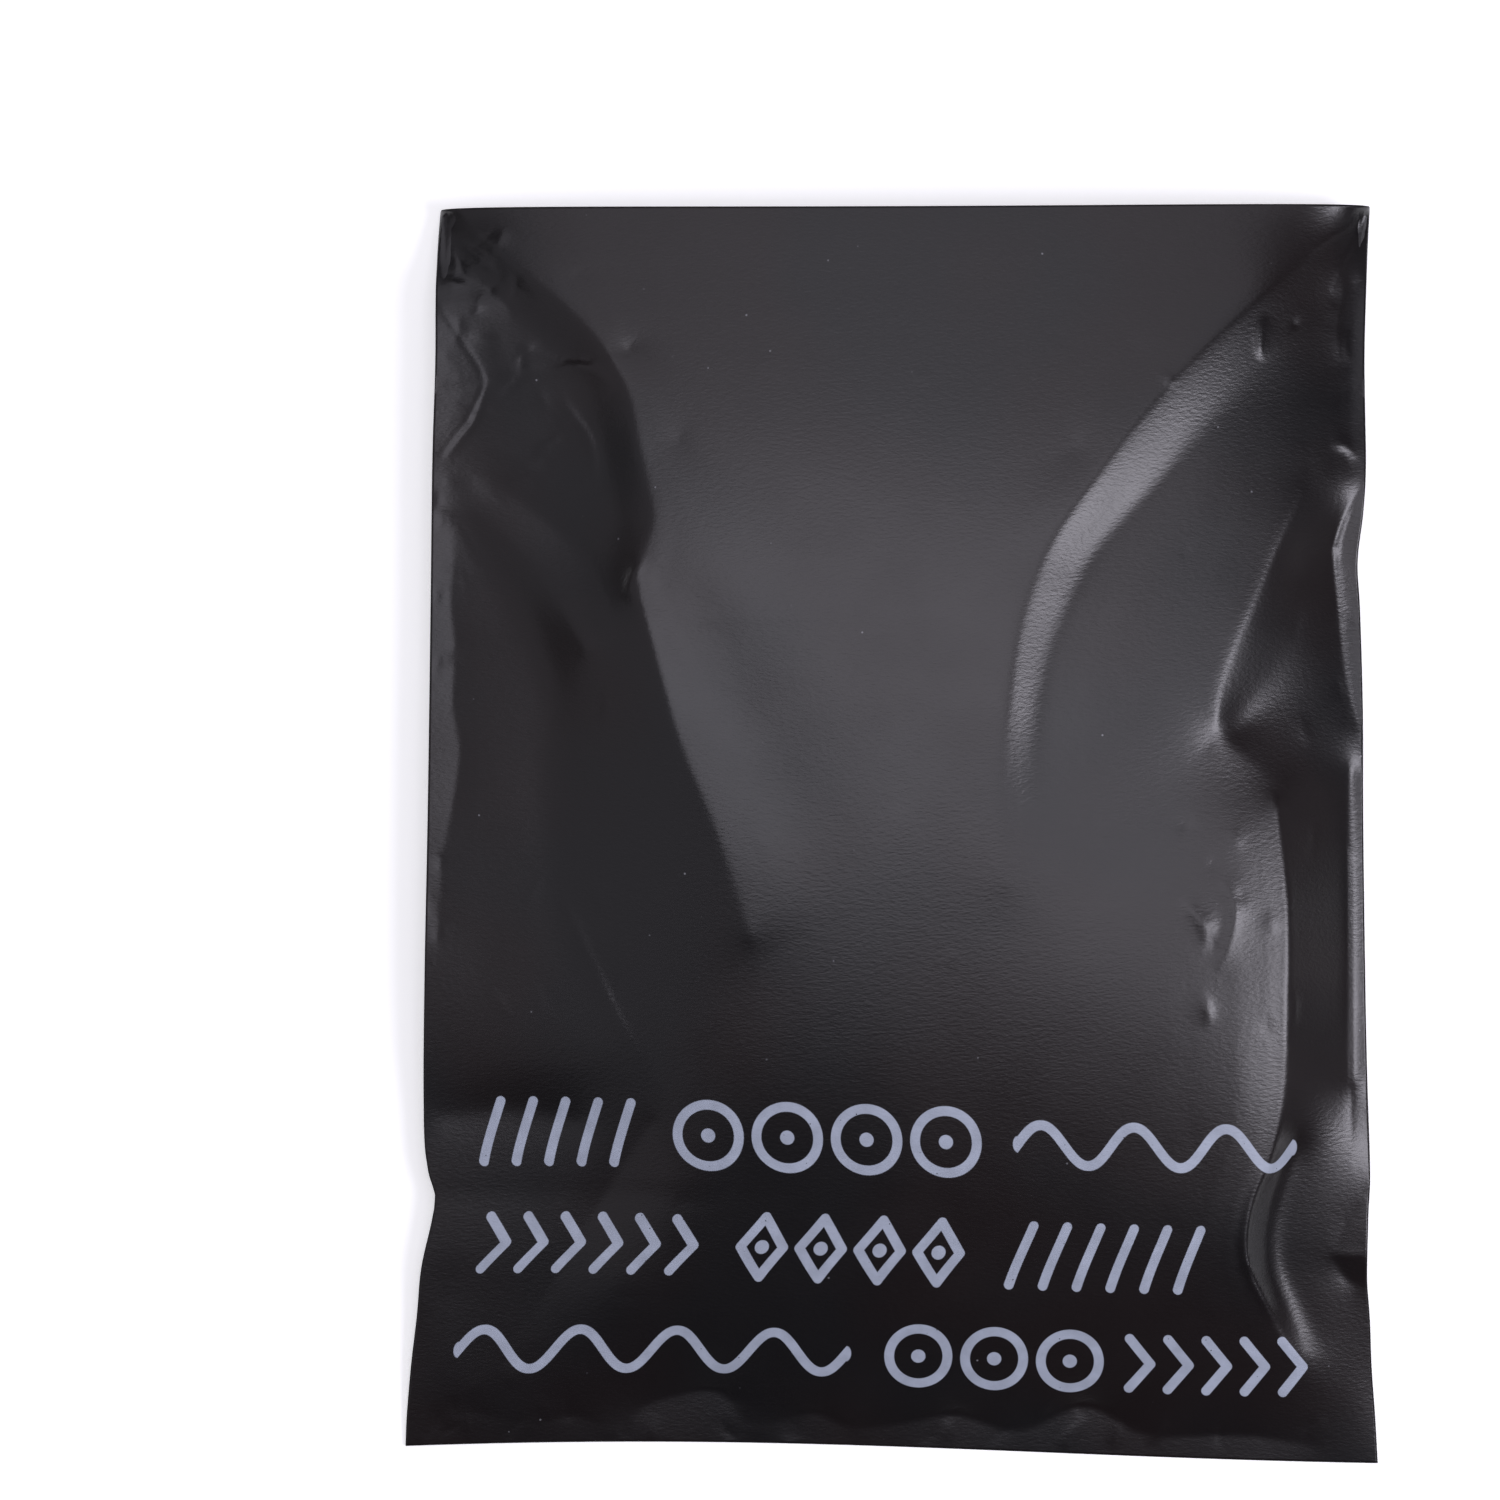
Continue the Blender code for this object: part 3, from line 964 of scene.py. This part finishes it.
def close_rims(front, back):
    """Join the two sheets into one closed bag, bridged along their rims."""
    bpy.ops.object.select_all(action="DESELECT")
    for sheet in (back, front):
        sheet.select_set(True)
    bpy.context.view_layer.objects.active = front
    bpy.ops.object.join()
    bpy.ops.object.mode_set(mode="EDIT")
    bpy.ops.mesh.select_mode(type="EDGE")
    bpy.ops.mesh.select_all(action="DESELECT")
    bpy.ops.mesh.select_non_manifold()
    bpy.ops.mesh.bridge_edge_loops()
    bpy.ops.mesh.select_all(action="SELECT")
    bpy.ops.mesh.normals_make_consistent(inside=False)
    bpy.ops.object.mode_set(mode="OBJECT")


class MAILER_OT_film_bag(bpy.types.Operator):
    """Make the sealed bag of film, its front stretched over the pack"""

    bl_idname = "mailer.film_bag"
    bl_label = "Film bag"

    def execute(self, context):
        sizes = context.scene.mailer_film
        front = flat_sheet("film_bag", sizes.columns, sizes.rows)
        s, t = shares(front)
        plan = in_plan(s, t)
        heights = resampled(stretched_film(FINE_ROWS, FINE_COLUMNS), s, t)
        shaped(front, plan, heights + creased(plan, s, t))

        back = flat_sheet("film_back", sizes.columns // 4, sizes.rows // 4)
        s, t = shares(back)
        shaped(back, in_plan(s, t), back_height(s, t))
        for corner in back.data.uv_layers.active.data:
            corner.uv.x += BACK_UV_SHIFT
        close_rims(front, back)
        bpy.ops.object.shade_smooth()
        front.data.materials.append(film_material(sizes))
        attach(front, "root")
        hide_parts("mailer_bag")
        return {"FINISHED"}


def softbox(name, place, target, size, power):
    """A rectangular light of a size (across, up) at a place, turned to its target."""
    light = bpy.data.lights.new(name, "AREA")
    light.shape = "RECTANGLE"
    light.size, light.size_y = size
    light.energy = power
    light.color = linear("f6f3ff")[:3]
    made = bpy.data.objects.new(name, light)
    bpy.context.scene.collection.objects.link(made)
    made.location = place
    made.rotation_euler = (Vector(target) - Vector(place)).to_track_quat("-Z", "Y").to_euler()
    return made


class MAILER_OT_studio(bpy.types.Operator):
    """Add the table, the lights and the camera"""

    bl_idname = "mailer.studio"
    bl_label = "Studio"

    def execute(self, context):
        scene = context.scene
        settings = scene.mailer_studio
        bpy.ops.object.select_all(action="DESELECT")
        bpy.ops.mesh.primitive_plane_add(size=8.0)
        floor = active_mesh()
        floor.name = "table"
        paint = bpy.data.materials.new("white_paper")
        paint.use_nodes = True
        shader = paint.node_tree.nodes["Principled BSDF"]
        shader.inputs["Base Color"].default_value = linear("f4f4f5")
        shader.inputs["Roughness"].default_value = 0.8
        shader.inputs["Emission Color"].default_value = linear("ffffff")
        shader.inputs["Emission Strength"].default_value = 0.45
        floor.data.materials.append(paint)

        world = bpy.data.worlds.new("studio_dim")
        world.use_nodes = True
        dim = world.node_tree.nodes["Background"]
        dim.inputs["Color"].default_value = linear("ffffff")
        dim.inputs["Strength"].default_value = 0.065
        scene.world = world
        softbox("overhead", (0.02, 0.12, 1.7), (0, 0, 0), (1.05, 0.95), 8.1)
        softbox("back", (0.0, 1.2, 1.45), (0, 0.1, 0), (1.8, 1.2), 7)
        softbox("right_side", (0.92, -0.26, 1.15), (0, 0, 0), (0.45, 0.55), 11)
        softbox("left_side", (-1.2, 0.0, 1.15), (0, 0, 0), (1.9, 1.3), 3.4)

        camera = bpy.data.cameras.new("camera")
        camera.lens = settings.lens
        camera.sensor_width = 36.0
        viewer = bpy.data.objects.new("camera", camera)
        scene.collection.objects.link(viewer)
        distance = settings.view_width * settings.lens / camera.sensor_width
        viewer.location = (-0.0444, 0.0276, distance)
        scene.camera = viewer
        scene.view_settings.view_transform = "Standard"
        return {"FINISHED"}


class MAILER_PT_sidebar(bpy.types.Panel):
    bl_idname = "MAILER_PT_sidebar"
    bl_label = "Poly mailer bag"
    bl_space_type = "VIEW_3D"
    bl_region_type = "UI"
    bl_category = "Mailer"

    def draw(self, context):
        for settings in (context.scene.mailer_film, context.scene.mailer_studio):
            for name in settings.bl_rna.properties.keys():
                if name not in ("rna_type", "name"):
                    self.layout.prop(settings, name)
        for operator in OPERATORS:
            self.layout.operator(operator.bl_idname)


OPERATORS = (MAILER_OT_film_bag, MAILER_OT_studio)
CLASSES = (MailerFilm, MailerStudio, *OPERATORS, MAILER_PT_sidebar)


def register():
    for made in CLASSES:
        bpy.utils.register_class(made)
    bpy.types.Scene.mailer_film = PointerProperty(type=MailerFilm)
    bpy.types.Scene.mailer_studio = PointerProperty(type=MailerStudio)


def unregister():
    del bpy.types.Scene.mailer_studio
    del bpy.types.Scene.mailer_film
    for made in reversed(CLASSES):
        bpy.utils.unregister_class(made)


def main():
    register()
    bpy.ops.mailer.film_bag()
    bpy.ops.mailer.studio()
    bpy.context.view_layer.update()


if __name__ == "__main__":
    main()
